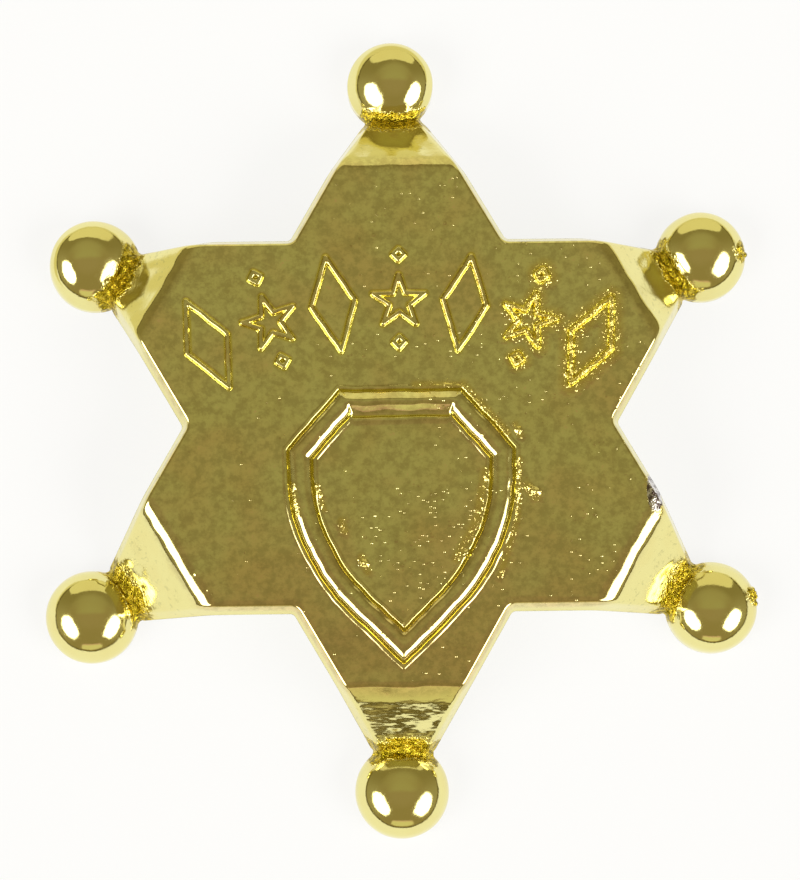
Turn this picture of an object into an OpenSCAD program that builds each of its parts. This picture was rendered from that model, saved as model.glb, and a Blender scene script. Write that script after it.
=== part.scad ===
// Sheriff star badge: a cast six-armed star that lies face up on its six balls.
// +Z is the face's normal, +Y points at the top ball, and the origin is at the centre of the base.

/* [Star] */
// Distance from the centre to each ball's centre
ball_ring_r = 30.3; // [29.7:0.1:30.9]
// Radius of a ball
ball_r = 3.85; // [3.7:0.05:4.1]
// Height of the straight skirt below a ball's dome
skirt_h = 0.8; // [0.6:0.1:1.2]
// Height of a ball's dome, which is a little flatter than a half sphere
dome_h = 3.2; // [2.9:0.1:3.8]
// Height of the flat face above the base
face_z = 7.8; // [7.3:0.1:8.3]
// Thickness of the cast plate
plate_t = 1.7; // [1.4:0.1:2]
// Distance from the centre to the inner corner between two arms, at the plate's lower edge
corner_r = 18.1; // [17.8:0.1:18.4]
// Distance from the centre at which an arm starts to slope down
crest_r = 22.2; // [21.7:0.1:22.7]
// How much further in the plate's upper edge lies than its lower edge
edge_draft = 0.55; // [0.3:0.05:0.7]

/* [Shield] */
// Width of the shield, across the middle line of its moulding
shield_w = 16.8; // [15.5:0.1:17.5]
// Length of the shield, from its top line to its tip
shield_l = 20.3; // [19:0.1:21]
// Height of the shield's top line above the star's centre
shield_top_y = 1.7; // [1:0.1:2]
// Width of the round-backed moulding
moulding_w = 2.2; // [1.8:0.1:2.6]
// Height of the moulding above the face
moulding_h = 0.52; // [0.4:0.02:0.7]

/* [Ornament] */
// Radius of the arc that the seven motifs stand on, at their middle
arc_r = 36.3; // [34:0.1:40]
// Height of the arc's top above the star's centre
arc_y = 10.4; // [10:0.1:10.8]
// Distance between neighbouring motifs along the arc
motif_step = 5.5; // [5.3:0.05:5.6]
// Height of a tall lozenge, and of a star with its two drops
motif_l = 9; // [8.5:0.1:9.4]
// Width of a tall lozenge
lozenge_w = 4.1; // [3.6:0.1:4.3]
// Tip radius of a small star
motif_star_r = 2.95; // [2.7:0.05:3.1]
// Width of the drops above and below a small star
drop_w = 1.5; // [1.3:0.1:1.8]
// Gap between a small star and its drops
drop_gap = 0.25; // [0.15:0.05:0.35]
// Width of a motif's raised rim
rim_w = 0.4; // [0.3:0.05:0.45]
// Height of a motif's raised rim above the face
rim_h = 0.3; // [0.2:0.05:0.5]

/* [Pin] */
// Length of the pin's base strip
strip_l = 27; // [25:0.5:29]
// Width of the base strip
strip_w = 4.6; // [4:0.1:5.5]
// Thickness of the base strip
strip_t = 0.6; // [0.5:0.1:0.8]
// Distance of the base strip above the star's centre
pin_y = 4.5; // [3:0.5:6]
// Width of the end posts along the strip
post_w = 2.4; // [2:0.1:3]
// Depth of the end posts across the strip
post_d = 3; // [2.5:0.1:3.5]
// Distance of each post from its end of the strip
post_inset = 0.3; // [0.2:0.1:0.6]
// Radius of the pin wire
wire_r = 0.45; // [0.4:0.05:0.6]
// Free height between the strip and the wire's axis
wire_drop = 2.6; // [2.2:0.1:2.8]
// Length of the wire's point beyond its post
point_l = 2.5; // [2:0.1:3]
// Radius of a rivet peg
peg_r = 0.9; // [0.8:0.05:1.1]
// Radius of a rivet peg's head
peg_head_r = 1.5; // [1.4:0.05:1.7]
// Thickness of a rivet peg's head
peg_head_t = 0.4; // [0.3:0.1:0.6]
// Distance of each rivet peg from its end of the strip
peg_inset = 5; // [4.5:0.1:6]

/* [Hidden] */
$fn = 96;

ARMS = 6;
STEP = 360 / ARMS;

// Gap between the pin and the casting, at the face of the strip and round each peg
fit_gap = 0.08;
// How far added relief and pegs reach into the plate
root = 0.3;
// Height above the base at which an arm's lower edge ends inside its ball
arm_end_z = 0.2;

plate_under_z = face_z - plate_t;
// An arm ends inside its ball
arm_end_r = ball_ring_r - 0.7 * ball_r;
crease_r = crest_r - 0.4 * plate_t;

strip_top_z = plate_under_z - fit_gap;
strip_under_z = strip_top_z - strip_t;
peg_head_top_z = strip_under_z - fit_gap;
peg_x = strip_l / 2 - peg_inset;
post_x = strip_l / 2 - post_inset - post_w / 2;
wire_z = strip_under_z - wire_drop;
post_under_z = wire_z - 2 * wire_r;

// Half width of an arm at a distance from the centre, when its inner corners are at radius ring_r
function arm_half_w(dist, ring_r) = (ring_r * sqrt(3) - dist) * tan(30);
function turned(p, angle) =
    [p[0] * cos(angle) - p[1] * sin(angle), p[0] * sin(angle) + p[1] * cos(angle), p[2]];

// One arm's five points on the upper or lower side: corner, two at the bend and two at the ball
function side_points(ring_r, bend_r, bend_z, end_z) =
    let (half_bend = arm_half_w(bend_r, ring_r), half_end = arm_half_w(arm_end_r, ring_r))
    [
        [ring_r * cos(30), -ring_r * sin(30), bend_z],
        [bend_r, -half_bend, bend_z],
        [arm_end_r, -half_end, end_z],
        [arm_end_r, half_end, end_z],
        [bend_r, half_bend, bend_z]
    ];

// The plate with its six sloping arm ends
module plate() {
    upper = side_points(
        ring_r = corner_r - edge_draft / cos(30),
        bend_r = crest_r,
        bend_z = face_z,
        end_z = arm_end_z + plate_t
    );
    lower = side_points(ring_r = corner_r, bend_r = crease_r, bend_z = plate_under_z, end_z = arm_end_z);
    per_side = len(upper);
    per_arm = 2 * per_side;
    points = [for (arm = [0:ARMS - 1]) for (p = concat(upper, lower)) turned(p, arm * STEP + 90)];
    total = len(points);
    middle = [
        [for (arm = [ARMS - 1:-1:0]) arm * per_arm],
        [for (arm = [0:ARMS - 1]) arm * per_arm + per_side]
    ];
    // Each arm's four-sided faces: level, sloping, then round the walls; 10 and 15 are the next arm's
    arm_faces = [
        [10, 4, 1, 0],
        [4, 3, 2, 1],
        [5, 6, 9, 15],
        [6, 7, 8, 9],
        [0, 1, 6, 5],
        [1, 2, 7, 6],
        [2, 3, 8, 7],
        [3, 4, 9, 8],
        [4, 10, 15, 9]
    ];
    faces = concat(
        middle,
        [for (arm = [0:ARMS - 1]) for (quad = arm_faces) [for (k = quad) (arm * per_arm + k) % total]]
    );
    polyhedron(points = points, faces = faces, convexity = 6);
}

// One ball: a slightly flattened dome on a short straight skirt, flat underneath
module ball() {
    bands = 14;
    dome = [
        for (k = [0:bands])
            let (turn = 90 * k / bands)
            [ball_r * cos(turn), skirt_h + dome_h * sin(turn)]
    ];
    rotate_extrude() polygon(concat([[0, 0], [ball_r, 0]], dome));
}

// Middle line of the shield's right half, from the top corner down to the tip:
// half width as a share of the greatest half width, and drop below the top line as a share of the length
HALF_W = 0;
DROP = 1;
SHIELD_LINE = [
    [0.55, 0],
    [1, 0.21],
    [0.995, 0.335],
    [0.945, 0.46],
    [0.835, 0.585],
    [0.655, 0.715],
    [0.395, 0.84],
    [0, 1]
];

function unit(v) = v / norm(v);
function left_of(v) = [-v[1], v[0]];
function shield_point(k, side) =
    [side * SHIELD_LINE[k][HALF_W] * shield_w / 2, shield_top_y - SHIELD_LINE[k][DROP] * shield_l];

// Moulding with a round back, swept round the shield with mitred corners
module shield_moulding() {
    last = len(SHIELD_LINE) - 1;
    line = concat(
        [for (k = [0:last]) shield_point(k, -1)],
        [for (k = [last - 1:-1:0]) shield_point(k, 1)]
    );
    count = len(line);
    // The back is an arc through both edges and the top
    back_r = (moulding_w * moulding_w / 4 + moulding_h * moulding_h) / (2 * moulding_h);
    flats = 6;
    profile = concat(
        [[moulding_w / 2, -root]],
        [
            for (k = [0:flats])
                let (x = moulding_w * (0.5 - k / flats))
                [x, sqrt(back_r * back_r - x * x) - back_r + moulding_h]
        ],
        [[-moulding_w / 2, -root]]
    );
    sides = len(profile);
    points = [
        for (k = [0:count - 1])
            let (
                before = left_of(unit(line[k] - line[(k + count - 1) % count])),
                after = left_of(unit(line[(k + 1) % count] - line[k])),
                mitre = (before + after) / (1 + before * after)
            )
            for (q = profile) let (at = line[k] + mitre * q[0]) [at[0], at[1], face_z + q[1]]
    ];
    faces = [
        for (k = [0:count - 1]) for (s = [0:sides - 1])
            let (next = (k + 1) % count, t = (s + 1) % sides)
            [k * sides + s, next * sides + s, next * sides + t, k * sides + t]
    ];
    polyhedron(points = points, faces = faces, convexity = 4);
}

// A raised rim that follows a shape with every side at distance side_r from its middle
module rim(shape, side_r) {
    inner = (side_r - rim_w) / side_r;
    translate([0, 0, face_z - root])
        linear_extrude(rim_h + root)
            difference() {
                polygon(shape);
                polygon([for (p = shape) p * inner]);
            }
}

module lozenge(half_w, half_l) {
    shape = [[half_w, 0], [0, half_l], [-half_w, 0], [0, -half_l]];
    rim(shape, half_w * half_l / norm([half_w, half_l]));
}

module small_star(tip_r) {
    inner_r = tip_r * sin(18) / sin(54);
    shape = [
        for (k = [0:9])
            let (r = k % 2 == 0 ? tip_r : inner_r)
            [r * cos(90 + 36 * k), r * sin(90 + 36 * k)]
    ];
    rim(shape, tip_r * sin(18));
}

// A small star between two drops
module star_motif() {
    above = motif_star_r;
    below = motif_star_r * cos(36);
    drop_l = (motif_l - above - below) / 2 - drop_gap;
    translate([0, (below - above) / 2]) small_star(motif_star_r);
    for (side = [-1, 1])
        translate([0, side * (motif_l - drop_l) / 2]) lozenge(drop_w / 2, drop_l / 2);
}

// Seven motifs on an arc: tall lozenges and stars by turns
module ornament() {
    for (k = [-3:3])
        translate([0, arc_y - arc_r])
            rotate(-k * motif_step / arc_r * 180 / PI)
                translate([0, arc_r])
                    if (k % 2 == 0) star_motif();
                    else lozenge(lozenge_w / 2, motif_l / 2);
}

// A peg that holds the pin's base strip, with its head closed over
module rivet_peg() {
    head_z = peg_head_top_z - peg_head_t;
    translate([0, 0, head_z]) cylinder(r = peg_head_r, h = peg_head_t);
    translate([0, 0, head_z]) cylinder(r = peg_r, h = plate_under_z + root - head_z);
}

module star_casting() {
    color("gold") {
        plate();
        for (arm = [0:ARMS - 1])
            rotate(arm * STEP + 90) translate([ball_ring_r, 0]) ball();
        shield_moulding();
        ornament();
        for (side = [-1, 1]) translate([side * peg_x, pin_y]) rivet_peg();
    }
}

// Base strip, two posts and the wire between them, as one plain piece
module bar_pin() {
    post_h = strip_under_z - post_under_z + strip_t / 2;
    color("silver")
        translate([0, pin_y])
            difference() {
                union() {
                    translate([-strip_l / 2, -strip_w / 2, strip_under_z]) cube([strip_l, strip_w, strip_t]);
                    for (side = [-1, 1])
                        translate([side * post_x - post_w / 2, -post_d / 2, post_under_z])
                            cube([post_w, post_d, post_h]);
                    translate([-post_x, 0, wire_z]) rotate([0, 90, 0]) cylinder(r = wire_r, h = 2 * post_x);
                    translate([post_x + post_w / 2, 0, wire_z])
                        rotate([0, 90, 0]) cylinder(r1 = wire_r, r2 = wire_r / 4, h = point_l);
                }
                for (side = [-1, 1])
                    translate([side * peg_x, 0, strip_under_z - 1])
                        cylinder(r = peg_r + fit_gap, h = strip_t + 2);
            }
}

star_casting();
bar_pin();
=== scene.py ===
"""Sheriff star badge: a worn, gold-plated casting that lies face up on a pale table."""
import math

import bpy
import numpy as np
from mathutils import Matrix, Vector, noise
from mathutils.geometry import delaunay_2d_cdt


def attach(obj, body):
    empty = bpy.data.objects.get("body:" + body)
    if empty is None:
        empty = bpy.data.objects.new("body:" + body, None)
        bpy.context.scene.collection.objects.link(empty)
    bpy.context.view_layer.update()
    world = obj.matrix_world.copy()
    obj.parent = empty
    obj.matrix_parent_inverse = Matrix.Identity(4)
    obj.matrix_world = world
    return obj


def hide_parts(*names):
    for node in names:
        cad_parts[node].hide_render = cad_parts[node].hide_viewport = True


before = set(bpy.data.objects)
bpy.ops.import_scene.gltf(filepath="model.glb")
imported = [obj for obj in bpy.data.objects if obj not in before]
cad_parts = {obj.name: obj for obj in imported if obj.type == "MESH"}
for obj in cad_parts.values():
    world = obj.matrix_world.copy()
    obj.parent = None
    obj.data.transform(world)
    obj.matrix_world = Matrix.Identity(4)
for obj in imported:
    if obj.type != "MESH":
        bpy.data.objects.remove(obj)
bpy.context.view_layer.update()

# All sizes below are millimetres, as in the part's source; meshes are made in metres
MM = 0.001

# The cast star
ARM_ANGLES = [30, 90, 150, 210, 270, 330]
BALL_RING_R = 30.3
BALL_R = 3.85
BALL_SKIRT_H = 0.8
BALL_DOME_H = 3.2
BALL_FOOT = 0.2
BALL_SWELL = 0.022
FACE_Z = 7.8
PLATE_T = 1.7
CORNER_R = 18.1
CREST_R = 22.2
EDGE_DRAFT = 0.55
ARM_END_R = BALL_RING_R - 0.7 * BALL_R
ARM_END_Z = 0.2
UNDER_Z = FACE_Z - PLATE_T
CREASE_R = CREST_R - 0.4 * PLATE_T
UNDER_SLOPE = (UNDER_Z - ARM_END_Z) / (ARM_END_R - CREASE_R)
SIDE_LINE = CORNER_R * math.cos(math.radians(30))
# How each arm's bend and ball differ from the mean, arm by arm, as the hand-made pattern left them
BEND_SHIFT = [0.1, -0.2, 0.35, -0.6, -0.45, -0.1]
BEND_R = [2.1, 2.1, 2.1, 2.1, 0.8, 2.3]
BEND_WANDER = 0.03
FACET_SLOPE = math.tan(math.radians(48))
BALL_SCALE = [1.0, 0.955, 1.01, 1.01, 1.02, 1.005]
BALL_SHIFT = [(-0.16, -0.16), (-0.36, -0.17), (0.5, -0.46), (0.19, -0.13), (-0.18, 0.08), (-0.07, 0.02)]
BALL_LEAN = [(0, 0.084), (0.096, 0.082), (-0.143, 0.109), (-0.01, 0.03), (0, -0.03), (0, -0.057)]
# The lowest arm has a narrow bevel before its end slopes down
BEVEL_ARM = 4
BEVEL_SLOPE = math.tan(math.radians(41.5))
BEVEL_END = 22.72
BEVEL_FACET = math.tan(math.radians(45.6))
EDGE_ROUND = 0.35
RIM_INSET = EDGE_DRAFT + EDGE_ROUND * math.tan(math.radians(36))
NOTCH_R = 0.5
FOOT_ROUND = 0.15
UNDER_ROUND = 0.45
# Everything above this belongs to the front
FRONT_FROM_Z = UNDER_Z + 0.5
# How far from the line between ball and arm the neck is softened, in how many rounds and by what
# share, and its lumps as pairs of a scale and a height
NECK_SOFT = 0.55
NECK_ROUNDS = 24
NECK_SHARE = 0.6
NECK_LUMPS = [(1.7, 0.12), (4.0, 0.08)]
# How far the darker, more saturated gold at each neck reaches along the arm and up the ball: painted shade
# and painted reflection in the crease where ball meets arm
NECK_SHADE_ON_ARM = 2.3
NECK_SHADE_ON_BALL = 1.1

# The shield's moulding
SHIELD_W = 16.8
SHIELD_L = 20.3
SHIELD_TOP_Y = 1.7
SHIELD_LINE = [
    (0.55, 0),
    (1, 0.21),
    (0.995, 0.335),
    (0.945, 0.46),
    (0.835, 0.585),
    (0.655, 0.715),
    (0.395, 0.84),
    (0, 1),
]
BAND_HALF = 0.93
BAND_BASE = -0.12
BAND_CREST = 0.52
LIP_Z = 0.085
LIP_D = 1.24
LIP_END = 1.54
LID_STRETCH = 1.17
BAND_ROWS = [0, 0.14, 0.28, 0.42, 0.54, 0.65, 0.74, 0.81, 0.87, 0.91, 0.94, 0.98, 1.02, 1.06, 1.1, 1.16]
LIP_ROWS = [1.21, 1.26, 1.31, 1.36, 1.41, 1.47, 1.54, 1.68]

# The arc of raised motifs
ARC_R = 36.3
ARC_Y = 10.4
MOTIF_STEP = 5.5
MOTIF_L = 9
LOZENGE_W = 4.1
STAR_R = 2.95
DROP_W = 1.5
DROP_GAP = 0.25
RIM_W = 0.4
RIM_H = 0.3
RIM_HALF = 0.24
RIM_GROOVE_H = 0.04
RIM_ROWS = [0.08, 0.15, 0.2, 0.24, 0.29, 0.36, 0.46]

# Rough, grainy streaks that the mould left on the front, as pairs of ends with a half width
CRUSTS = [
    (1.2, 3.15, 5.3, 3.1, 0.3),
    (5.2, 3.2, 8.85, -1.0, 0.35),
    (9.5, -0.3, 9.9, -1.2, 0.3),
    (10.3, -5.4, 11.1, -6.3, 0.45),
    (9.75, -3.2, 9.5, -8.2, 0.3),
    (9.5, -8.2, 8.0, -12.8, 0.3),
    (6.9, -4.2, 6.2, -8.2, 0.4),
    (6.2, -8.2, 4.4, -11.4, 0.4),
    (-9.1, -5.2, -8.7, -7.6, 0.35),
    (-7.0, -5.3, -6.4, -7.2, 0.25),
    (-5.0, -8.2, -4.8, -9.0, 0.35),
    (-3.4, -11.2, -2.9, -12.4, 0.35),
    (20.6, -4.9, 21.2, -7.6, 0.5),
]
# The least share of graininess that counts
GRAINY = 0.02
# Smooth lumps and pits in the casting: place, radius and height
LUMPS = [
    (-3.2, 20.1, 0.22, 0.07),
    (-2.9, 20.1, 0.22, 0.07),
    (-1.5, 19.5, 0.2, 0.06),
    (-1.25, 19.4, 0.2, 0.06),
    (1.2, 22.7, 0.4, -0.09),
    (11.1, -5.9, 0.5, 0.22),
    (10.6, -5.5, 0.35, 0.15),
    (9.75, -0.8, 0.4, 0.18),
    (-5.1, -8.5, 0.4, 0.12),
    (-3.2, -11.7, 0.45, 0.16),
    (5.3, -11.0, 0.4, 0.16),
]
# Grains of flash on two balls: the arm, the middle of the patch as an azimuth and a height, and how many
FLASH = [(5, 14, 2.0, 16), (0, 2, 2.2, 9)]
FLASH_SINK = 0.08
FLASH_STAIN = 1.3
FLASH_TURN = 11
GRAIN_R = 0.2
GRAIN_R_VARIES = 0.08

# The rivets that hold the pin
PEG_X = 8.5
PEG_Y = 4.5
PEG_PROFILE = [
    (0, 4.94),
    (1.38, 4.94),
    (1.5, 5.03),
    (1.5, 5.24),
    (1.4, 5.34),
    (0.9, 5.34),
    (0.9, 6.4),
    (0, 6.4),
]

# Spacing of the mesh on the front, on the back, across the bends and along the motifs' rims
FRONT_STEP = 0.42
FRONT_FINE_STEP = 0.17
BACK_STEP = 0.75
BACK_FINE_STEP = 0.3
BEND_STEP = 0.24
RIM_STEP = 0.14
LATTICE_R = 32.0
# The front's mesh is fine all over from here outwards, for the necks
FINE_FROM_R = 24.4
# How far the coarse and the fine points keep from the relief and the edge
SHIELD_CLEAR = (1.85, 1.75)
MOTIF_CLEAR = (0.62, 0.5)
EDGE_CLEAR = (0.2, 0.1)
BEND_CLEAR = 0.14
# The stretch about a bend that holds lines only, as shares of the bend's radius and a gap more
BEND_BEFORE = 0.45
BEND_AFTER = 0.3
BEND_GAP = 0.25
BACK_EDGE_CLEAR = (0.3, 0.15)
CREASE_CLEAR = 0.7
ARM_POINTS = 56
ARM_END_POINTS = 14
NOTCH_POINTS = 6
FLANK_POINTS = 160
SLANT_POINTS = 48
LID_POINTS = 76
BALL_SEGMENTS = 96
PEG_SEGMENTS = 40
GRAIN_SEGMENTS = 12


def across(v):
    """The same vector turned a quarter to the left."""
    return np.stack([-v[..., 1], v[..., 0]], axis=-1)


def turned(points, degrees):
    c, s = math.cos(math.radians(degrees)), math.sin(math.radians(degrees))
    return np.asarray(points, float) @ np.array([[c, s], [-s, c]])


def arm_directions():
    angles = np.radians(ARM_ANGLES)
    return np.stack([np.cos(angles), np.sin(angles)], axis=1)


ARMS = arm_directions()


def along_arm(points):
    """Each point's nearest arm, and how far out along that arm it lies."""
    along = points[:, :2] @ ARMS.T
    arm = along.argmax(axis=1)
    return arm, along[np.arange(len(points)), arm]


def faded(value, full, none):
    """One up to full, zero beyond none, and smooth between them."""
    t = np.clip((none - value) / (none - full), 0, 1)
    return t * t * (3 - 2 * t)


def bell(d, middle, width):
    """One at a middle distance, falling off smoothly on both sides."""
    return np.exp(-(((d - middle) / width) ** 2))


def distance_to_loop(points, loop):
    """Distance from each point to a closed line."""
    best = np.full(len(points), 1e9)
    for a, b in zip(loop, np.roll(loop, -1, axis=0)):
        way = b - a
        t = np.clip((points - a) @ way / (way @ way), 0, 1)
        gap = points - a - t[:, None] * way
        best = np.minimum(best, np.hypot(gap[:, 0], gap[:, 1]))
    return best


def resampled(line, count):
    """The same open line as evenly spaced points."""
    reach = np.concatenate([[0], np.cumsum(np.hypot(*np.diff(line, axis=0).T))])
    at = np.linspace(0, reach[-1], count)
    return np.stack([np.interp(at, reach, line[:, 0]), np.interp(at, reach, line[:, 1])], axis=1)


# The shield's lines
def shield_flank():
    """Right flank of the moulding's middle line, curved from the shoulder down to the point."""
    rows = [np.array([w * SHIELD_W / 2, SHIELD_TOP_Y - d * SHIELD_L]) for w, d in SHIELD_LINE[1:]]
    flank = []
    for k in range(len(rows) - 1):
        p, q = rows[k], rows[k + 1]
        before = rows[k - 1] if k else 2 * p - q
        after = rows[k + 2] if k + 2 < len(rows) else 2 * q - p
        for t in np.linspace(0, 1, 24, endpoint=False):
            curve = 2 * p + (q - before) * t + (2 * before - 5 * p + 4 * q - after) * t**2
            flank.append((curve + (3 * p - before - 3 * q + after) * t**3) / 2)
    return np.array(flank + [rows[-1]])


FLANK = shield_flank()
TOP_CORNER = np.array([SHIELD_LINE[0][0] * SHIELD_W / 2, SHIELD_TOP_Y])


def shield_loop(out):
    """The moulding's middle line moved outwards, its corners kept sharp, always as many points."""
    slant = FLANK[0] - TOP_CORNER
    normal = across(slant) / np.hypot(*slant)
    level = TOP_CORNER @ normal + out
    top = SHIELD_TOP_Y + (out * LID_STRETCH if out < 0 else out)
    corner = np.array([(level - top * normal[1]) / normal[0], top])
    way = np.gradient(FLANK, axis=0)
    line = FLANK + across(way) / np.hypot(*way.T)[:, None] * out
    line = np.vstack([line[0] * 9 - line[1] * 8, line, line[-1] * 9 - line[-2] * 8])
    over = line @ normal - level
    first = int(np.argmax(over < 0))
    before, after = line[first - 1], line[first]
    start = before + (after - before) * over[first - 1] / (over[first - 1] - over[first])
    last = int(np.argmax(line[:, 0] < 0)) if (line[:, 0] < 0).any() else len(line) - 1
    share = line[last - 1, 0] / (line[last - 1, 0] - line[last, 0])
    tip = line[last - 1] + (line[last] - line[last - 1]) * share
    flank = resampled(np.vstack([start, line[first:last], tip]), FLANK_POINTS)
    slope = resampled(np.vstack([corner, start]), SLANT_POINTS)
    right = np.vstack([slope[:-1], flank[:-1]])
    left = np.vstack([flank[::-1], slope[::-1][1:]]) * [-1, 1]
    lid = resampled(np.vstack([left[-1], corner]), LID_POINTS)
    return np.vstack([right, left, lid[1:-1]])


SHIELD_LOOP = shield_loop(0.0)


def shield_distance(points):
    """Signed distance outwards from the moulding's middle line, with sharp corners."""
    best = np.full(len(points), -1e9)
    for a, b in zip(SHIELD_LOOP, np.roll(SHIELD_LOOP, -1, axis=0)):
        way = b - a
        normal = across(way) / np.hypot(*way)
        best = np.maximum(best, (points[:, :2] - a) @ normal)
    lid = points[:, 1] - SHIELD_TOP_Y
    inner = (np.abs(best - lid) < 1e-6) & (lid < 0)
    return np.where(inner, lid / LID_STRETCH, best)


def band_height(d, lid):
    """The moulding's profile: a rounded bar, a cut groove at its foot and a low lip beyond."""
    inner = np.interp(-d, [0, 0.05, 0.12, 0.63, 0.75, BAND_HALF], [1, 0.99, 0.95, 0.19, 0.04, 0])
    outer = np.interp(d, [0.08, 0.16, 0.28, 0.86, BAND_HALF], [1, 0.985, 0.92, 0.26, 0])
    roof = np.where(d < 0, inner, outer)
    d = np.abs(d)
    bar = np.sqrt(np.clip(1 - (d / BAND_HALF) ** 2, 0, 1))
    bar = BAND_BASE + (BAND_CREST - BAND_BASE) * (bar + (roof - bar) * lid)
    wall = np.interp(d, [0.97, 1.09, 1.16, LIP_D], [BAND_BASE, 0.04, 0.07, LIP_Z])
    lip = np.where(d < LIP_D, LIP_Z, LIP_Z * faded(d, LIP_D, LIP_END))
    return np.where(d < BAND_HALF, bar, np.minimum(wall, lip))


def on_lid(points, d):
    """One on the moulding's level top bar, fading towards its mitred ends."""
    end = TOP_CORNER[0] + 0.41 * np.clip(d, -1, 1)
    return faded(np.abs(points[:, 0]), end - 0.28, end - 0.03) * (points[:, 1] > SHIELD_TOP_Y - 2)


# The motifs' lines
def star_outline(tip_r):
    inner_r = tip_r * math.sin(math.radians(18)) / math.sin(math.radians(54))
    radii = np.where(np.arange(10) % 2 == 0, tip_r, inner_r)
    angles = np.radians(90 + 36 * np.arange(10))
    return np.stack([radii * np.cos(angles), radii * np.sin(angles)], axis=1)


def inset(outline, side_r):
    """The middle line of a rim that lies just inside an outline."""
    return outline * (1 - RIM_W / 2 / side_r)


def lozenge_rim(w, l):
    outline = np.array([(w / 2, 0), (0, l / 2), (-w / 2, 0), (0, -l / 2)])
    return inset(outline, w * l / 4 / math.hypot(w / 2, l / 2))


def motif_loops():
    """Rim lines of the seven motifs: tall lozenges and stars by turns, the stars between two drops."""
    foot = STAR_R * math.cos(math.radians(36))
    drop_l = (MOTIF_L - STAR_R - foot) / 2 - DROP_GAP
    star = inset(star_outline(STAR_R), STAR_R * math.sin(math.radians(18))) + [0, (foot - STAR_R) / 2]
    drops = [lozenge_rim(DROP_W, drop_l) + [0, side * (MOTIF_L - drop_l) / 2] for side in (-1, 1)]
    tall = lozenge_rim(LOZENGE_W, MOTIF_L)
    loops = []
    for k in range(-3, 4):
        for loop in [tall] if k % 2 else [star] + drops:
            placed = turned(loop + [0, ARC_R], -math.degrees(k * MOTIF_STEP / ARC_R))
            loops.append(placed + [0, ARC_Y - ARC_R])
    return loops


MOTIF_LOOPS = motif_loops()


def motif_distance(points):
    """Distance to the nearest rim's middle line, worked out only near the arc."""
    far = np.full(len(points), 9.0)
    near = points[:, 1] > -4
    spots = points[near, :2]
    far[near] = np.min([distance_to_loop(spots, loop) for loop in MOTIF_LOOPS], axis=0)
    return far


def rim_height(d):
    """A rim's profile: steep sides, a rounded top and a fine groove at its foot."""
    return RIM_H * np.clip(1 - (d / RIM_HALF) ** 4, 0, 1) - RIM_GROOVE_H * bell(d, 0.28, 0.05)


# The star's heights
def bend_of(arm):
    """Where an arm's bend starts, where it would be sharp, and the slope that it turns to."""
    bend = CREST_R + BEND_SHIFT[arm]
    slope = math.atan(BEVEL_SLOPE if arm == BEVEL_ARM else FACET_SLOPE)
    return bend - BEND_R[arm] * math.tan(slope / 2), bend, slope


def face_drop(along, off, arm):
    """How far the front lies below its level middle, out along one arm, past its rounded bend."""
    start, bend, slope = bend_of(arm)
    r = BEND_R[arm]
    wander = np.sin(off * 1.1 + arm * 2.1) + 0.6 * np.sin(off * 2.3 + arm * 4.7)
    along = along - BEND_WANDER * wander
    arc = r - np.sqrt(np.clip(r**2 - np.clip(along - start, 0, r) ** 2, 0, None))
    drop = np.where(along < start + r * math.sin(slope), arc, (along - bend) * math.tan(slope))
    if arm == BEVEL_ARM:
        past = along - BEVEL_END
        drop = drop + (BEVEL_FACET - BEVEL_SLOPE) * (past + np.sqrt(past * past + 0.01)) / 2
    return drop


def face_height(points):
    drops = []
    for arm, out in enumerate(ARMS):
        drops.append(face_drop(points[:, :2] @ out, points[:, :2] @ across(out), arm))
    return FACE_Z - np.max(drops, axis=0)


def under_height(points):
    over = along_arm(points)[1] - CREASE_R
    return UNDER_Z - UNDER_SLOPE * (over + np.sqrt(over * over + UNDER_ROUND**2)) / 2


def crust_share(points):
    """How grainy the front is: fully in a streak's middle, and beside the right-hand motifs' rims."""
    share = np.zeros(len(points))
    for x0, y0, x1, y1, half in CRUSTS:
        start, way = np.array([x0, y0]), np.array([x1 - x0, y1 - y0])
        t = np.clip((points[:, :2] - start) @ way / (way @ way), 0, 1)
        gap = np.hypot(*(points[:, :2] - start - t[:, None] * way).T)
        share = np.maximum(share, faded(gap, half * 0.3, half * 1.5))
    reach = np.interp(points[:, 0], [6, 13], [0.5, 1.4])
    beside = 1.4 * faded(motif_distance(points), 0.15, reach) * faded(-points[:, 0], -10.5, -5.5)
    return np.maximum(share, beside)


def waves(points, scale, depth, seed):
    """Slow unevenness of cast and polished metal."""
    shift = Vector((seed * 13.7, seed * 5.1, seed * 2.3))
    return np.array([depth * noise.noise(Vector((p[0], p[1], 0)) * scale + shift) for p in points])


def unevenness(points):
    """Slow waves all over, finer ones down the lowest arm's end, lumps, and grains in the crusts."""
    level = 0.35 + 0.65 * faded(along_arm(points)[1], CREST_R - 1.5, CREST_R + 0.5)
    total = waves(points, 0.16, 0.05, 1) * level + waves(points, 0.45, 0.014, 2) * level
    total += waves(points, 1.3, 0.003, 3)
    down = -points[:, 1] - BEVEL_END
    low = down > 0
    total[low] += waves(points[low] * [0.6, 1.5], 1.2, 0.007, 4) * faded(-down[low], -0.5, 0)
    for x, y, radius, high in LUMPS:
        total += high * faded(np.hypot(points[:, 0] - x, points[:, 1] - y) / radius, 0, 1)
    share = crust_share(points)
    grainy = share > GRAINY
    grit = waves(points[grainy], 2.3, 0.09, 5) + waves(points[grainy], 4.2, 0.07, 6)
    total[grainy] += share[grainy] * grit
    return total


def wobble(points):
    """Small sideways wandering of the relief's lines, as the hand-cut mould left them."""
    inside = faded(-from_edge(points), -1.2, -0.6)
    moves = [waves(points, 0.9, 0.06, seed) + waves(points, 0.3, 0.08, seed + 10) for seed in (7, 8)]
    return np.stack(moves, axis=1) * inside[:, None]


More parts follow.
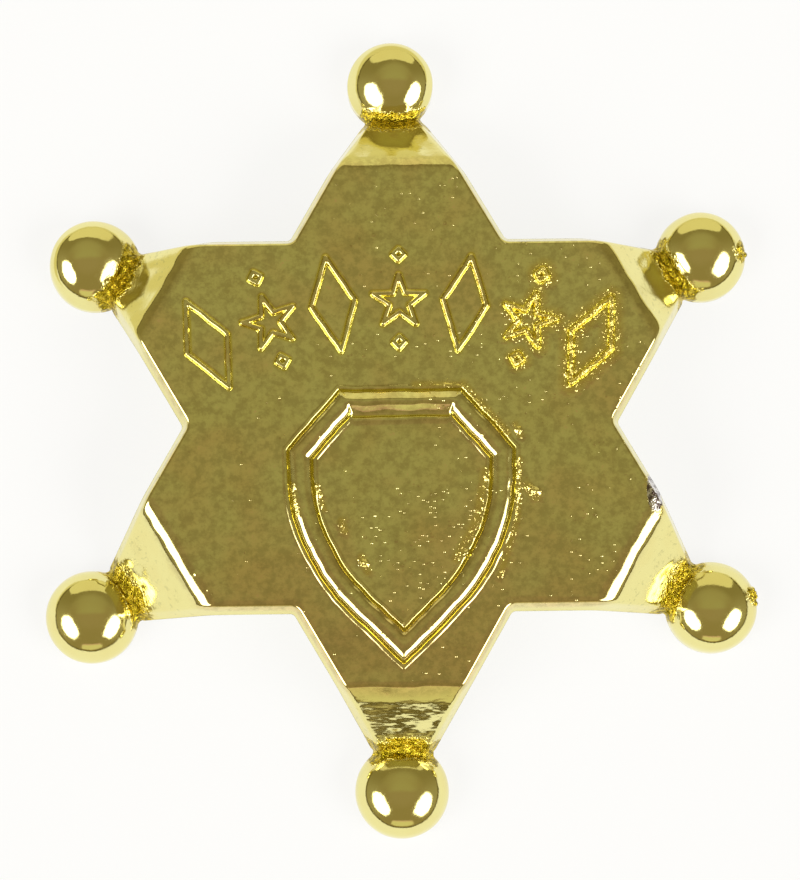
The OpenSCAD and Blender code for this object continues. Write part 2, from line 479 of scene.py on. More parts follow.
# Flat plans
def outline_ring(back):
    """The star's outline moved inwards, as one ring of points, always as many."""
    ring = []
    third = math.radians(60)
    centre = (CORNER_R + NOTCH_R / math.sin(third)) * np.array([math.cos(third / 2), math.sin(third / 2)])
    radius = NOTCH_R + back
    first = centre[0] - radius * math.cos(third)
    s = np.linspace(first, ARM_END_R, ARM_POINTS)
    u = (SIDE_LINE - back - s / 2) / math.cos(third / 2)
    u[0] = centre[1] - radius * math.sin(third)
    end = np.linspace(-u[-1], u[-1], ARM_END_POINTS + 2)[1:-1]
    turn = np.linspace(third, 0, NOTCH_POINTS + 2)[1:-1]
    notch = centre - radius * np.stack([np.cos(turn), np.sin(turn)], axis=1)
    own = [np.stack([s, -u], axis=1), np.stack([np.full(ARM_END_POINTS, ARM_END_R), end], axis=1)]
    own += [np.stack([s, u], axis=1)[::-1], notch]
    for angle in ARM_ANGLES:
        ring.append(turned(np.vstack(own), angle))
    return np.vstack(ring)


def from_edge(points):
    """How far inside the star's outline each point lies."""
    sides = SIDE_LINE - points @ ARMS.T
    within = np.maximum(sides[:, ::2].min(axis=1), sides[:, 1::2].min(axis=1))
    return np.minimum(within, ARM_END_R - (points @ ARMS.T).max(axis=1) + RIM_INSET)


def lattice(step):
    """Points in a triangular grid that covers the star."""
    across_rows = np.arange(-LATTICE_R, LATTICE_R, step)
    x, y = np.meshgrid(across_rows, np.arange(-LATTICE_R, LATTICE_R, step * math.sqrt(0.75)))
    x[1::2] += step / 2
    return np.stack([x.ravel(), y.ravel()], axis=1)


def bend_lines():
    """Straight lines across each arm, close together over its rounded bend."""
    lines = []
    for arm, angle in enumerate(ARM_ANGLES):
        start, _, slope = bend_of(arm)
        rows = start + BEND_R[arm] * np.sin(np.linspace(-0.05, slope + 0.05, 16))
        if arm == BEVEL_ARM:
            rows = np.concatenate([rows, BEVEL_END + np.linspace(-0.2, 0.2, 5)])
        for s in rows:
            half = (SIDE_LINE - RIM_INSET - s / 2) / math.cos(math.radians(30)) - BEND_CLEAR
            u = np.linspace(-half, half, int(2 * half / BEND_STEP))
            lines.append(turned(np.stack([np.full(len(u), s), u], axis=1), angle))
    return lines


def stepped(a, b):
    """Evenly spaced points from one end of a rim's side to just before the other."""
    steps = max(2, round(np.hypot(*(b - a)) / RIM_STEP))
    return a + np.linspace(0, 1, steps, endpoint=False)[:, None] * (b - a)


def motif_points():
    """Points beside the motifs' rims, in rows where the rims' sides are steep."""
    spots, rows = [], []
    for loop in MOTIF_LOOPS:
        for a, b in zip(loop, np.roll(loop, -1, axis=0)):
            way = b - a
            length = np.hypot(*way)
            line = stepped(a, b)
            for d in RIM_ROWS:
                for side in (-d, d):
                    spots.append(line + side * across(way) / length)
                turn = np.linspace(0, 2 * math.pi, max(8, round(2 * math.pi * d / 0.13)), endpoint=False)
                spots.append(a + d * np.stack([np.cos(turn), np.sin(turn)], axis=1))
                rows += [d] * (2 * len(line) + len(turn))
    spots = np.concatenate(spots)
    spots = spots[motif_distance(spots) > np.array(rows) - 0.012]
    keep = np.unique(np.round(spots / 0.06), axis=0, return_index=True)[1]
    return spots[keep]


def sheet(ring, loops, lines, free):
    """Points and triangles that fill a ring, with edges along the given lines, and the ring's numbers."""
    spots, edges, count = [], [], 0
    for closed, group in ((True, [ring] + loops), (False, lines)):
        for line in group:
            k = np.arange(len(line)) + count
            pairs = np.stack([k, np.roll(k, -1)], axis=1)
            edges.append(pairs if closed else pairs[:-1])
            spots.append(line)
            count += len(line)
    flat = [Vector(p) for p in np.concatenate(spots + [free])]
    out = delaunay_2d_cdt(flat, np.concatenate(edges).tolist(), [], 1, 1e-5)
    number = {old: new for new, olds in enumerate(out[3]) for old in olds}
    numbers = np.array([number[k] for k in range(len(ring))])
    return np.array([tuple(p) for p in out[0]]), np.array(out[2]), numbers


def front_sheet():
    loops = [shield_loop(side * d) for d in BAND_ROWS + LIP_ROWS for side in ((1, -1) if d else (1,))]
    for loop in MOTIF_LOOPS:
        loops.append(np.concatenate([stepped(a, b) for a, b in zip(loop, np.roll(loop, -1, axis=0))]))
    coarse = lattice(FRONT_STEP)
    fine = lattice(FRONT_FINE_STEP)
    arm, s = along_arm(coarse)
    bend = CREST_R + np.array(BEND_SHIFT)[arm]
    r = np.array(BEND_R)[arm]
    before, after = bend - r * BEND_BEFORE - BEND_GAP, bend + r * BEND_AFTER + BEND_GAP
    free = (s < FINE_FROM_R) & ((s < before) | (s > after))
    free &= (np.abs(shield_distance(coarse)) > SHIELD_CLEAR[0]) & (motif_distance(coarse) > MOTIF_CLEAR[0])
    free &= from_edge(coarse) > RIM_INSET + EDGE_CLEAR[0]
    s = along_arm(fine)[1]
    crusty = (crust_share(fine) > GRAINY) & (s < 20) & (motif_distance(fine) > MOTIF_CLEAR[1])
    close = (s > FINE_FROM_R) | (crusty & (np.abs(shield_distance(fine)) > SHIELD_CLEAR[1]))
    close &= from_edge(fine) > RIM_INSET + EDGE_CLEAR[1]
    spots = np.vstack([motif_points(), coarse[free], fine[close]])
    return sheet(outline_ring(RIM_INSET), loops, bend_lines(), spots)


def back_sheet():
    coarse = lattice(BACK_STEP)
    fine = lattice(BACK_FINE_STEP)
    free = from_edge(coarse) > FOOT_ROUND + BACK_EDGE_CLEAR[0]
    free &= along_arm(coarse)[1] - CREASE_R < -CREASE_CLEAR
    close = from_edge(fine) > FOOT_ROUND + BACK_EDGE_CLEAR[1]
    close &= along_arm(fine)[1] - CREASE_R > -CREASE_CLEAR
    return sheet(outline_ring(FOOT_ROUND), [], [], np.vstack([coarse[free], fine[close]]))


# Solid shells
def star_body():
    """Front, edge and back of the star as one closed shell."""
    plan, front, ring = front_sheet()
    d = shield_distance(plan)
    height = face_height(plan) + band_height(d, on_lid(plan, d)) + rim_height(motif_distance(plan))
    shells = [np.column_stack([plan + wobble(plan), height + unevenness(plan)])]
    rows = []
    for turn in (18, 36, 54, 72):
        back = RIM_INSET - EDGE_ROUND * math.sin(math.radians(turn))
        sink = EDGE_ROUND * (1 - math.cos(math.radians(turn)))
        rows.append((back, sink, 0))
    for share in (0.3, 0.6, 0.88):
        rows.append((back * (1 - share), sink, share))
    rows.append((0, sink, 0.95))
    rows.append((FOOT_ROUND * 0.4, sink, 1))
    edge_waves = unevenness(plan[ring])
    faces, start, rings = [front], len(plan), [ring]
    for back, sink, share in rows:
        flat = outline_ring(back)
        high = face_height(flat) - sink + edge_waves
        shells.append(np.column_stack([flat, high + (under_height(flat) - high) * share]))
        rings.append(start + np.arange(len(flat)))
        start += len(flat)
    plan, base, ring = back_sheet()
    shells.append(np.column_stack([plan, under_height(plan)]))
    faces.append(base[:, ::-1] + start)
    rings.append(ring + start)
    for upper, lower in zip(rings, rings[1:]):
        a, b, c, d = upper, lower, np.roll(lower, -1), np.roll(upper, -1)
        faces += [np.stack([a, b, c], axis=1), np.stack([a, c, d], axis=1)]
    return np.concatenate(shells), np.concatenate(faces)


def revolved(profile, segments, at):
    """A closed shell turned round an upright axis, from a profile that starts and ends on it."""
    angles = np.arange(segments) / segments * 2 * math.pi
    ring = np.stack([np.cos(angles), np.sin(angles)], axis=1)
    points = [np.array([[at[0], at[1], profile[0][1]]])]
    for r, z in profile[1:-1]:
        points.append(np.column_stack([ring * r + at, np.full(segments, z)]))
    points.append(np.array([[at[0], at[1], profile[-1][1]]]))
    rows = [1 + k * segments + np.arange(segments) for k in range(len(profile) - 2)]
    faces = [np.stack([np.zeros(segments, int), np.roll(rows[0], -1), rows[0]], axis=1)]
    for low, high in zip(rows, rows[1:]):
        a, b, c, d = low, np.roll(low, -1), np.roll(high, -1), high
        faces += [np.stack([a, b, c], axis=1), np.stack([a, c, d], axis=1)]
    last = np.full(segments, 1 + len(rows) * segments)
    faces.append(np.stack([rows[-1], np.roll(rows[-1], -1), last], axis=1))
    return np.concatenate(points), np.concatenate(faces)


def ball_profile(scale):
    """A ball's outline: a straight skirt below a flattened dome, trimmed where the scale is below one."""
    r = BALL_R * scale
    dome_r = max(BALL_R, r)
    profile = [(0, 0), (r / 2, 0), (r - BALL_FOOT, 0)]
    for turn in (30, 60, 90):
        a = math.radians(turn)
        profile.append((r - BALL_FOOT + BALL_FOOT * math.sin(a), BALL_FOOT - BALL_FOOT * math.cos(a)))
    profile.append((r, 0.5))
    for turn in np.linspace(0, 90, 40):
        a = math.radians(turn)
        profile.append((min(r, dome_r * math.cos(a)), BALL_SKIRT_H + BALL_DOME_H * math.sin(a)))
    profile[-1] = (0, BALL_SKIRT_H + BALL_DOME_H)
    return profile


BALL_CENTRES = ARMS * BALL_RING_R + np.array(BALL_SHIFT)


def ball(arm):
    """One ball, a little uneven and leaning, as a closed shell."""
    points, faces = revolved(ball_profile(BALL_SCALE[arm]), BALL_SEGMENTS, BALL_CENTRES[arm])
    middle = np.append(BALL_CENTRES[arm], BALL_SKIRT_H)
    away = points - middle
    away /= np.maximum(np.linalg.norm(away, axis=1), 1e-6)[:, None]
    shift = Vector((arm * 7.3, 2.2, 0))
    swell = [BALL_SWELL * noise.noise(Vector(p) * 0.55 + shift) for p in points]
    above = faded(-points[:, 2], -0.9, -0.3)
    lean = (points[:, :2] - middle[:2]) @ np.array(BALL_LEAN[arm])
    rise = faded(-points[:, 2], -2.0, -BALL_SKIRT_H) * lean
    points = points + away * (np.array(swell) * above)[:, None]
    points[:, 2] += rise
    return points, faces


def in_ball(arm, azimuth, z):
    """A place just inside a ball's side, at an azimuth in degrees and a height."""
    high = np.clip((z - BALL_SKIRT_H) / BALL_DOME_H, 0, 1)
    out = BALL_R * BALL_SCALE[arm] * math.sqrt(1 - high**2) - FLASH_SINK
    turn = math.radians(azimuth)
    return BALL_CENTRES[arm] + out * np.array([math.cos(turn), math.sin(turn)])


def grains():
    """Small round grains of flash, half sunk in the sides of two balls."""
    shells = []
    for arm, azimuth, height, count in FLASH:
        for k in range(count):
            spread = math.sqrt((k + 1) / count)
            z = height + spread * math.cos(k * 2.4)
            at = in_ball(arm, azimuth + FLASH_TURN * spread * math.sin(k * 2.4), z)
            r = GRAIN_R + GRAIN_R_VARIES * math.sin(k * 5.1)
            half = np.radians(np.linspace(-90, 90, 9))
            profile = [(r * math.cos(a), z + r * math.sin(a)) for a in half]
            profile[0], profile[-1] = (0, z - r), (0, z + r)
            shells.append(revolved(profile, GRAIN_SEGMENTS, at))
    return shells


def ball_distance(points):
    """Rough signed distance to the nearest ball."""
    flat = np.min([np.hypot(*(points[:, :2] - centre).T) for centre in BALL_CENTRES], axis=0)
    rise = np.maximum(points[:, 2] - BALL_SKIRT_H, 0)
    return (np.hypot(flat / BALL_R, rise / BALL_DOME_H) - 1) * (BALL_R + BALL_DOME_H) / 2


def arm_distance(points):
    """Rough signed distance to the nearest arm, for points near a ball."""
    arm, s = along_arm(points)
    off = np.abs(points[:, 0] * ARMS[arm, 1] - points[:, 1] * ARMS[arm, 0])
    tilt = math.cos(math.atan(UNDER_SLOPE))
    over = (points[:, 2] - face_height(points)) * tilt
    beneath = (under_height(points) - points[:, 2]) * tilt
    beside = off * math.cos(math.radians(30)) + s / 2 - SIDE_LINE
    return np.maximum(np.maximum(over, beneath), beside)


def near_neck(points, reach):
    """One on the line where a ball meets its arm, falling to zero at the given distance."""
    return faded(np.maximum(np.abs(ball_distance(points)), np.abs(arm_distance(points))), 0, reach)


def mesh_object(name, points, faces):
    """One object from points in millimetres and faces."""
    mesh = bpy.data.meshes.new(name)
    mesh.from_pydata((points * MM).tolist(), [], faces.tolist())
    obj = bpy.data.objects.new(name, mesh)
    bpy.context.scene.collection.objects.link(obj)
    return obj


def joined(body, others):
    """The first object grown to the union of them all."""
    for other in others:
        step = body.modifiers.new("join", "BOOLEAN")
        step.operation = "UNION"
        step.solver = "MANIFOLD"
        step.object = other
    whole = bpy.data.meshes.new_from_object(body.evaluated_get(bpy.context.evaluated_depsgraph_get()))
    whole.materials.clear()
    body.modifiers.clear()
    body.data = whole
    for other in others:
        bpy.data.objects.remove(other)
    return body


def read_points(mesh):
    flat = np.empty(len(mesh.vertices) * 3)
    mesh.vertices.foreach_get("co", flat)
    return flat.reshape(-1, 3) / MM


def soften_necks(points, edges):
    """Rounds the inner corner where each ball meets its arm and roughens the metal there."""
    weight = near_neck(points, NECK_SOFT) * faded(-points[:, 2], -0.8, -0.3)
    used = edges[(weight[edges] > 0).any(axis=1)]
    count = np.bincount(used.ravel(), minlength=len(points))
    for _ in range(NECK_ROUNDS):
        total = np.zeros_like(points)
        np.add.at(total, used[:, 0], points[used[:, 1]])
        np.add.at(total, used[:, 1], points[used[:, 0]])
        mean = total / np.maximum(count, 1)[:, None]
        points = points + (mean - points) * (weight * (count > 0) * NECK_SHARE)[:, None]
    rough = np.clip(neck_shade_and_stain(points) * 1.5, 0, 1) * faded(-points[:, 2], -1.2, -0.6)
    for k in np.flatnonzero(rough > GRAINY):
        lump = sum(noise.noise(Vector(points[k]) * scale) * high for scale, high in NECK_LUMPS)
        points[k, 2] += lump * rough[k]
    return points


def neck_shade_and_stain(points):
    """One where a ball meets its arm and in the flash, falling to zero further out on the arm: the share
    of painted shade at the necks, and of stain round the flash.
    """
    off_ball = np.abs(ball_distance(points)) / NECK_SHADE_ON_ARM
    off_arm = np.abs(arm_distance(points)) / NECK_SHADE_ON_BALL
    away = np.maximum(off_ball, off_arm)
    for arm, azimuth, height, _ in FLASH:
        middle = np.append(in_ball(arm, azimuth, height), height)
        away = np.minimum(away, np.linalg.norm(points - middle, axis=1) / FLASH_STAIN)
    return np.clip(1 - away, 0, 1)


def hollows(points):
    """How deep each point sits in a groove beside the relief, which the material darkens and saturates as
    painted shade and painted reflection.
    """
    front = points[:, 2] > FRONT_FROM_Z
    groove = bell(np.abs(shield_distance(points)), 1.0, 0.1) * front
    feet = bell(motif_distance(points), 0.27, 0.08) * front
    return np.maximum(groove, feet)


def set_values(mesh, name, values):
    mesh.attributes.new(name, "FLOAT", "POINT").data.foreach_set("value", values)


def cast_star():
    """The whole casting as one closed mesh, with what its material needs to know at each point."""
    pegs = [revolved(PEG_PROFILE, PEG_SEGMENTS, (side * PEG_X, PEG_Y)) for side in (-1, 1)]
    small = [mesh_object("shell", *shell) for shell in [ball(arm) for arm in range(6)] + pegs + grains()]
    obj = joined(mesh_object("cast_star", *star_body()), [joined(small[0], small[1:])])
    mesh = obj.data
    edges = np.empty(len(mesh.edges) * 2, int)
    mesh.edges.foreach_get("vertices", edges)
    points = soften_necks(read_points(mesh), edges.reshape(-1, 2))
    mesh.vertices.foreach_set("co", (points * MM).ravel())
    # This share carries painted shade: the material paints the crease between ball and arm darker and more
    # saturated, standing in for shade and inter-reflection there; round the flash it is stain
    shade_and_stain = neck_shade_and_stain(points)
    crust = crust_share(points) * (points[:, 2] > FRONT_FROM_Z)
    # The grooves' depth, where the material paints shade and a saturated reflection
    set_values(mesh, "hollow", hollows(points))
    set_values(mesh, "crust", np.maximum(crust, np.clip(shade_and_stain * 1.6, 0, 1)))
    set_values(mesh, "shade_and_stain", shade_and_stain)
    mesh.shade_smooth()
    mesh.update()
    return obj


# Materials
class Nodes:
    """Small helper that adds nodes to a tree and joins them."""

    def __init__(self, tree):
        self.tree = tree
        tree.nodes.clear()

    def add(self, kind, links=None, **settings):
        node = self.tree.nodes.new(kind)
        for key, value in settings.items():
            setattr(node, key, value)
        for key, value in (links or {}).items():
            if isinstance(value, bpy.types.NodeSocket):
                self.tree.links.new(value, node.inputs[key])
            else:
                node.inputs[key].default_value = value
        return node

    def attribute(self, name):
        return self.add("ShaderNodeAttribute", attribute_name=name).outputs["Fac"]

    def split(self, vector):
        return self.add("ShaderNodeSeparateXYZ", {0: vector}).outputs

    def math(self, operation, a, b=0.0):
        return self.add("ShaderNodeMath", {0: a, 1: b}, operation=operation).outputs[0]

    def times(self, a, b):
        return self.math("MULTIPLY", a, b)

    def plus(self, a, b):
        return self.math("ADD", a, b)

    def vector(self, operation, a, b=(0.0, 0.0, 0.0)):
        node = self.add("ShaderNodeVectorMath", {0: a, 1: b}, operation=operation)
        return node.outputs["Value" if operation in ("DOT_PRODUCT", "DISTANCE", "LENGTH") else "Vector"]

    def ramp(self, value, low, high, to_low=0.0, to_high=1.0):
        """From to_low at low to to_high at high, and smooth between them."""
        ends = {"Value": value, "From Min": low, "From Max": high, "To Min": to_low, "To Max": to_high}
        return self.add("ShaderNodeMapRange", ends, interpolation_type="SMOOTHSTEP").outputs["Result"]

    def noise(self, vector, scale, detail, roughness):
        settings = {"Vector": vector, "Scale": scale, "Detail": detail, "Roughness": roughness}
        return self.add("ShaderNodeTexNoise", settings).outputs["Fac"]

    def mix(self, fac, a, b, blend="MIX"):
        node = self.add("ShaderNodeMix", {0: fac, 6: a, 7: b}, data_type="RGBA", blend_type=blend)
        return node.outputs[2]

    def near(self, place, spot, full, none):
        """One within full of a spot and zero beyond none, in millimetres."""
        return self.ramp(self.vector("DISTANCE", place, spot), none, full)

    def specks(self, place, scale, share, size):
        """Small round dots, one in some of the cells of a scattered grid."""
        cells = self.add("ShaderNodeTexVoronoi", {"Vector": place, "Scale": scale})
        pick = self.add("ShaderNodeSeparateColor", {0: cells.outputs["Color"]}).outputs[0]
        dot = self.ramp(cells.outputs["Distance"], size, size * 0.2)
        picked = self.math("GREATER_THAN", pick, self.math("SUBTRACT", 1.0, share))
        return self.times(dot, picked)


def new_material(name):
    """A material, its nodes, and each point's place on its object in millimetres."""
    material = bpy.data.materials.new(name)
    material.use_nodes = True
    n = Nodes(material.node_tree)
    place = n.add("ShaderNodeTexCoord").outputs["Object"]
    mm = n.add("ShaderNodeVectorMath", {0: place, "Scale": 1000.0}, operation="SCALE").outputs[0]
    return material, n, mm


def metal(n, colour, rough, height, depth, strength):
    """Metal with a fine bump as its surface."""
    bump = n.add("ShaderNodeBump", {"Height": height, "Distance": depth * MM, "Strength": strength})
    shader = n.add(
        "ShaderNodeBsdfPrincipled",
        {"Base Color": colour, "Roughness": rough, "Normal": bump.outputs[0], "Metallic": 1.0},
    )
    n.add("ShaderNodeOutputMaterial", {"Surface": shader.outputs[0]})


# Colours of the gold plate and of the marks on it, and the painted shade and painted reflection of its
# grooves and necks; the tarnish's are multiplied with the gold's
GOLD = (0.87, 0.80, 0.34, 1)
DULLER_GOLD = (0.86, 0.775, 0.32, 1)
TARNISH = (0.98, 1.0, 1.04, 1)
BROWN_TARNISH = (0.99, 0.88, 0.93, 1)
DARK_TARNISH = (0.66, 0.62, 0.62, 1)
COPPER_TARNISH = (1.12, 0.84, 1.15, 1)
CRUST_GOLD = (0.87, 0.70, 0.17, 1)
# Painted shade and painted reflection: darker, saturated gold for the grooves beside the relief
GROOVE_PAINTED_SHADE = (0.80, 0.69, 0.05, 1)
# Painted shade and painted reflection at the necks: mottled dark and saturated gold where ball meets arm,
# also laid as stain round the flash
DARK_SHADE_AND_STAIN = (0.34, 0.26, 0.01, 1)
SATURATED_SHADE_AND_STAIN = (0.78, 0.60, 0.05, 1)
DULL_DASH = (0.60, 0.57, 0.25, 1)
DARK_BARE = (0.16, 0.12, 0.11, 1)
BRIGHT_BARE = (0.82, 0.79, 0.77, 1)
# The middle of the bare chip on one arm's edge, and of the crowded pimples inside the shield
CHIP = (21.0, -5.9, 7.6)
CROWDED = (1.5, -9.5, FACE_Z)


def gold_material():
    material, n, mm = new_material("worn_gold_plate")
    hollow, crust, shade_and_stain = n.attribute("hollow"), n.attribute("crust"), n.attribute("shade_and_stain")
    parts = n.split(mm)
    reach = n.vector("LENGTH", n.vector("MULTIPLY", mm, (1.0, 1.0, 0.0)))
    level = n.times(n.ramp(reach, 23.5, 22.0), n.ramp(parts["Z"], 6.6, 7.2))

    # Tarnish on the level front
    mottling = n.noise(mm, 0.35, 2.0, 0.6)
    fine = n.noise(mm, 2.2, 3.0, 0.6)
    grain = n.noise(mm, 7.0, 2.0, 0.5)
    colour = n.mix(n.ramp(mottling, 0.4, 0.7), GOLD, DULLER_GOLD)
    low = n.ramp(parts["Y"], -9.0, -19.0, 0.0, 0.4)
    patches = n.ramp(n.plus(n.noise(mm, 0.13, 2.0, 0.65), n.times(low, 0.5)), 0.42, 0.68)
    tarnish = n.mix(patches, TARNISH, BROWN_TARNISH)
    spots = n.noise(mm, 1.2, 3.0, 0.75)
    tarnish = n.mix(n.ramp(spots, 0.34, 0.64, 0.75, 0.0), tarnish, DARK_TARNISH)
    tarnish = n.mix(n.ramp(spots, 0.66, 0.74, 0.0, 0.6), tarnish, COPPER_TARNISH)
    colour = n.mix(level, colour, n.mix(1.0, colour, tarnish, "MULTIPLY"))

    # Crusts, painted shade and painted reflection in the grooves and at the necks (stain round the flash),
    # and dull dashes on the sloping arm ends
    colour = n.mix(n.times(crust, 0.6), colour, CRUST_GOLD)
    # Painted shade and painted reflection: the grooves darker and more saturated
    colour = n.mix(n.times(hollow, 0.8), colour, GROOVE_PAINTED_SHADE)
    # Painted shade and painted reflection at the necks: darker, saturated gold with a ragged edge; round
    # the flash it is stain
    ragged = n.times(n.math("SUBTRACT", n.noise(mm, 1.4, 2.0, 0.7), 0.5), 0.9)
    shaded_and_stained = n.ramp(n.plus(shade_and_stain, ragged), 0.28, 0.42)
    colour = n.mix(shaded_and_stained, colour, n.mix(n.ramp(fine, 0.42, 0.56), DARK_SHADE_AND_STAIN, SATURATED_SHADE_AND_STAIN))
    slopes = n.times(n.ramp(reach, 22.5, 24.0), n.ramp(reach, 27.0, 26.0))
    dashes = n.times(n.ramp(fine, 0.58, 0.66, 0.0, 0.5), slopes)
    colour = n.mix(dashes, colour, DULL_DASH)

    # The bare chip
    off = n.vector("MULTIPLY", n.vector("SUBTRACT", mm, CHIP), (1.2, 0.5, 0.3))
    chip = n.plus(n.ramp(n.vector("LENGTH", off), 1.4, 0.4), n.times(grain, 0.6))
    chip = n.ramp(chip, 0.72, 0.86)
    colour = n.mix(chip, colour, n.mix(n.ramp(fine, 0.45, 0.56), DARK_BARE, BRIGHT_BARE))

    rough = n.plus(n.ramp(fine, 0.4, 0.8, 0.0, 0.05), n.ramp(mottling, 0.3, 0.7, 0.06, 0.1))
    dull = n.math("MAXIMUM", n.math("MAXIMUM", hollow, shaded_and_stained), chip)
    rough = n.plus(rough, n.times(dull, 0.1))

    # Pimples, grains and, down the lowest arm's end, streaks
    crowd = n.times(n.ramp(parts["X"], -8.0, 9.0, 0.04, 0.28), n.ramp(mottling, 0.42, 0.62))
    crowd = n.plus(crowd, n.times(n.near(mm, CROWDED, 2.5, 6.5), 0.45))
    crowd = n.times(n.times(crowd, level), n.ramp(reach, 21.8, 20.8))
    pimples = n.specks(mm, 1.0, crowd, 0.2)
    small = n.specks(mm, 2.8, n.plus(crowd, n.times(crust, 0.8)), 0.35)
    lumps = n.plus(n.times(fine, 0.24), n.times(grain, 0.08))
    rugged = n.plus(n.times(crust, 4.0), n.times(shaded_and_stained, 7.0))
    coarse = n.times(n.noise(mm, 4.0, 2.0, 0.6), n.plus(rugged, chip))
    height = n.plus(n.plus(lumps, coarse), n.times(pimples, 1.8))
    height = n.plus(height, n.times(small, 1.6))
    streaks = n.noise(n.vector("MULTIPLY", mm, (0.4, 1.0, 0.6)), 1.2, 2.0, 0.55)
    lowest = n.ramp(parts["Y"], 0.1 - BEVEL_END, -0.4 - BEVEL_END, 0.0, 2.3)
    lowest = n.times(lowest, n.ramp(parts["Y"], -27.2, -26.4))
    height = n.plus(height, n.times(streaks, lowest))
    metal(n, colour, rough, height, 0.02, 1.0)
    return material


def steel_material():
    """Dull steel with drawn lines along the pin and darker spots."""
    material, n, mm = new_material("dull_pin_steel")
    lines = n.noise(n.vector("MULTIPLY", mm, (0.15, 3.0, 3.0)), 1.6, 3.0, 0.6)
    spots = n.noise(mm, 0.5, 3.0, 0.6)
    colour = n.mix(n.ramp(spots, 0.5, 0.75), (0.62, 0.60, 0.55, 1), (0.42, 0.36, 0.24, 1))
    metal(n, colour, n.ramp(lines, 0.3, 0.7, 0.25, 0.42), lines, 0.01, 0.4)
    return material


# The table; in the metal's reflections only, its far side and left side are painted darker and warmer, a
# painted shade for the table's dimmer far and left parts
TABLE_HALF = 1500.0
TABLE_PALE = (0.83, 0.83, 0.83, 1)
# Painted shade: the darker, warmer colour of the table's dim far and left parts, seen only in reflections
TABLE_DIM_IN_REFLECTIONS = (0.60, 0.55, 0.27, 1)
TABLE_SHADE = (0.15, 0.15, 0.15, 1)
DIM_BEYOND_Y = 37.5
DIM_LEFT_OF_X = -37.0
DIM_LEFT_FROM_Y = 2.0
DIM_FADE = 4.0


def table_material():
    material, n, mm = new_material("pale_table")
    parts = n.split(mm)
    # Painted shade: the far and left parts of the table turn darker and warmer in reflections only,
    # standing in for less light there; the camera sees the table plain
    beyond = n.math("SUBTRACT", parts["Y"], DIM_BEYOND_Y)
    left = n.math("SUBTRACT", DIM_LEFT_OF_X, parts["X"])
    beside = n.math("MINIMUM", left, n.math("SUBTRACT", parts["Y"], DIM_LEFT_FROM_Y))
    tan = n.ramp(n.math("MAXIMUM", beyond, beside), 0.0, DIM_FADE)
    seen = n.add("ShaderNodeLightPath").outputs["Is Camera Ray"]
    tan = n.times(tan, n.math("SUBTRACT", 1.0, seen))
    cloth = n.add("ShaderNodeBsdfDiffuse", {"Color": TABLE_SHADE})
    glow = n.add("ShaderNodeEmission", {"Color": n.mix(tan, TABLE_PALE, TABLE_DIM_IN_REFLECTIONS)})
    both = n.add("ShaderNodeAddShader", {0: cloth.outputs[0], 1: glow.outputs[0]})
    n.add("ShaderNodeOutputMaterial", {"Surface": both.outputs[0]})
    return material


# Surroundings
def direction_to(azimuth, from_zenith):
    """A direction by its azimuth, counted from +X towards +Y, and its angle from straight up."""
    a, z = math.radians(azimuth), math.radians(from_zenith)
    return Vector((math.sin(z) * math.cos(a), math.sin(z) * math.sin(a), math.cos(z)))


# The room by its parts, and the light panels in it: azimuth, angle from straight up, half width and half
# height as tangents, softness and raggedness of the edge, squareness, and colour
WALL = (0.295, 0.24, 0.115, 1)
SIDE_WALL = (0.35, 0.31, 0.17, 1)
FAR_WALL = (0.25, 0.21, 0.09, 1)
FAR_WALL_TOP = (0.345, 0.31, 0.155, 1)
CEILING_NEAR = (0.325, 0.265, 0.145, 1)
CEILING_FAR = (0.365, 0.335, 0.17, 1)
SKIRTING = (0.13, 0.10, 0.03, 1)
PANELS = [
    (90, 72, 0.84, 0.33, 0.12, 0.5, 4.0, (0.79, 0.73, 0.43, 1)),
    (270, 74, 0.33, 0.155, 0.4, 0.5, 4.0, (0.66, 0.46, 0.38, 1)),
    (270, 75.5, 0.33, 0.13, 0.4, 0.5, 4.0, (0.70, 0.66, 0.38, 1)),
    (208, 55, 0.43, 0.28, 0.5, 1.4, 2.4, (6, 6, 5.8, 1)),
    (-28, 55, 0.43, 0.28, 0.5, 1.4, 2.4, (6, 6, 5.8, 1)),
]


def panel(n, ray, uneven, azimuth, from_zenith, half_w, half_h, soft, ragged, power):
    """How much a ray's direction lies on a rounded flat panel."""
    ahead = direction_to(azimuth, from_zenith)
    right = Vector((0, 0, 1)).cross(ahead).normalized()
    up = ahead.cross(right)
    depth = n.vector("DOT_PRODUCT", ray, tuple(ahead))
    safe = n.math("MAXIMUM", depth, 0.001)
    total = n.times(uneven, ragged)
    for axis, half in ((right, half_w), (up, half_h)):
        off = n.math("DIVIDE", n.vector("DOT_PRODUCT", ray, tuple(axis)), n.times(safe, half))
        total = n.plus(total, n.math("POWER", n.math("ABSOLUTE", off), power))
    return n.times(n.ramp(depth, 0.0, 0.02), n.ramp(total, 1 + soft, 1 - soft))


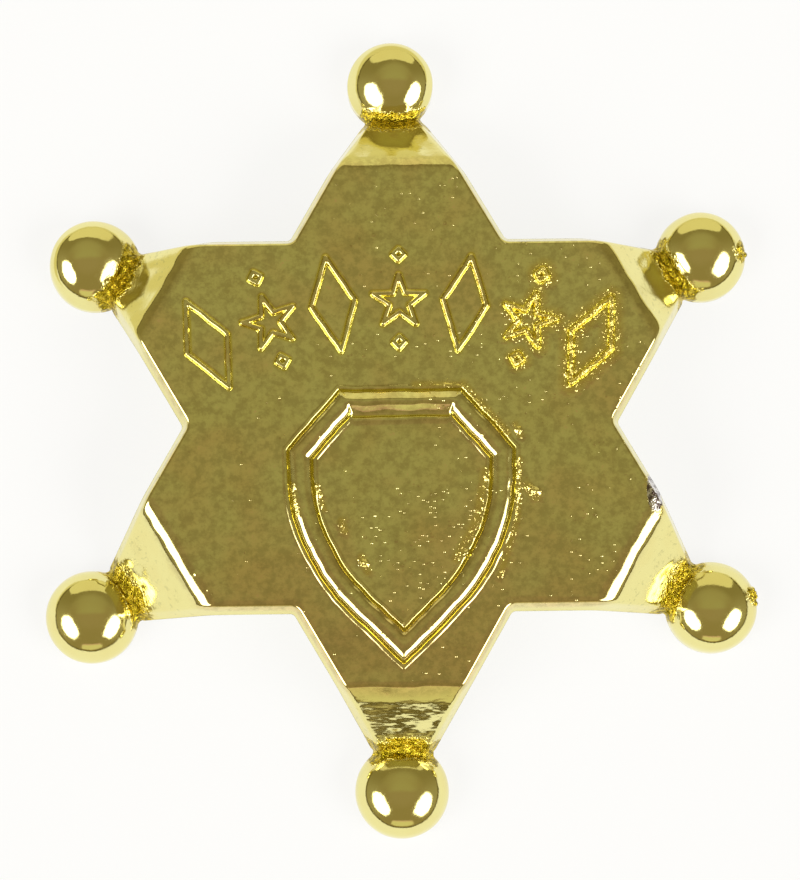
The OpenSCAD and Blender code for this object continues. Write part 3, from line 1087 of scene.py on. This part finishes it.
def surroundings():
    """A warm room with light panels, which the metal mirrors; the camera itself sees plain white."""
    world = bpy.data.worlds.new("studio")
    bpy.context.scene.world = world
    world.use_nodes = True
    n = Nodes(world.node_tree)
    ray = n.add("ShaderNodeTexCoord").outputs["Generated"]
    parts = n.split(ray)
    room = n.mix(n.ramp(n.math("ABSOLUTE", parts["X"]), 0.5, 1.0), WALL, SIDE_WALL)
    far = n.mix(n.ramp(parts["Z"], 0.60, 0.84), FAR_WALL, FAR_WALL_TOP)
    room = n.mix(n.ramp(parts["Y"], 0.0, 0.6), room, far)
    ceiling = n.mix(n.ramp(parts["Y"], -0.01, 0.14), CEILING_NEAR, CEILING_FAR)
    room = n.mix(n.ramp(parts["Z"], 0.78, 0.98), room, ceiling)
    room = n.mix(n.ramp(parts["Z"], 0.10, 0.045), room, SKIRTING)
    room = n.mix(n.ramp(parts["Z"], -0.02, -0.08), room, TABLE_PALE)
    uneven = n.math("SUBTRACT", n.noise(ray, 5.0, 2.0, 0.6), 0.5)
    for *form, colour in PANELS:
        room = n.mix(panel(n, ray, uneven, *form), room, colour)
    seen = n.add("ShaderNodeLightPath").outputs["Is Camera Ray"]
    shown = n.mix(seen, room, (1, 1, 1, 1))
    back = n.add("ShaderNodeBackground", {"Color": shown, "Strength": 1.0})
    n.add("ShaderNodeOutputWorld", {"Surface": back.outputs[0]})


def table():
    corners = TABLE_HALF * np.array([(-1, -1, 0), (1, -1, 0), (1, 1, 0), (-1, 1, 0)])
    obj = mesh_object("table", corners, np.array([(0, 1, 2, 3)]))
    obj.data.materials.append(table_material())


# The camera looks almost straight down, a little from below the badge
CAMERA_DISTANCE = 257.0
CAMERA_AIM = Vector((-0.09, -1.494, FACE_Z))
CAMERA_TILT = 7.89
CAMERA_SIDE = -1.36
CAMERA_ROLL = 0.844
PIXELS_PER_MM = 12.091
PICTURE_HEIGHT = 880
SENSOR_HEIGHT = 24.0


def camera():
    data = bpy.data.cameras.new("camera")
    data.sensor_fit = "VERTICAL"
    data.sensor_height = SENSOR_HEIGHT
    data.lens = PIXELS_PER_MM * CAMERA_DISTANCE * SENSOR_HEIGHT / PICTURE_HEIGHT
    data.clip_start = 0.01
    side, tilt = math.radians(CAMERA_SIDE), math.radians(CAMERA_TILT)
    back = Vector((math.sin(side), -math.sin(tilt), 1)).normalized()
    up = (Vector((0, 1, 0)) - back * back.y).normalized()
    right = up.cross(back)
    c, s = math.cos(math.radians(CAMERA_ROLL)), math.sin(math.radians(CAMERA_ROLL))
    level, upward = right * c - up * s, right * s + up * c
    turn = Matrix((level, upward, back)).transposed().to_4x4()
    obj = bpy.data.objects.new("camera", data)
    obj.matrix_world = Matrix.Translation((CAMERA_AIM + back * CAMERA_DISTANCE) * MM) @ turn
    bpy.context.scene.collection.objects.link(obj)
    bpy.context.scene.camera = obj


bpy.context.scene.view_settings.view_transform = "Standard"
camera()
table()
surroundings()

star = cast_star()
star.data.materials.append(gold_material())
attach(star, "root")
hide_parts("star_casting")

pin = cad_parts["bar_pin"]
pin.data.materials.clear()
pin.data.materials.append(steel_material())

bpy.context.view_layer.update()
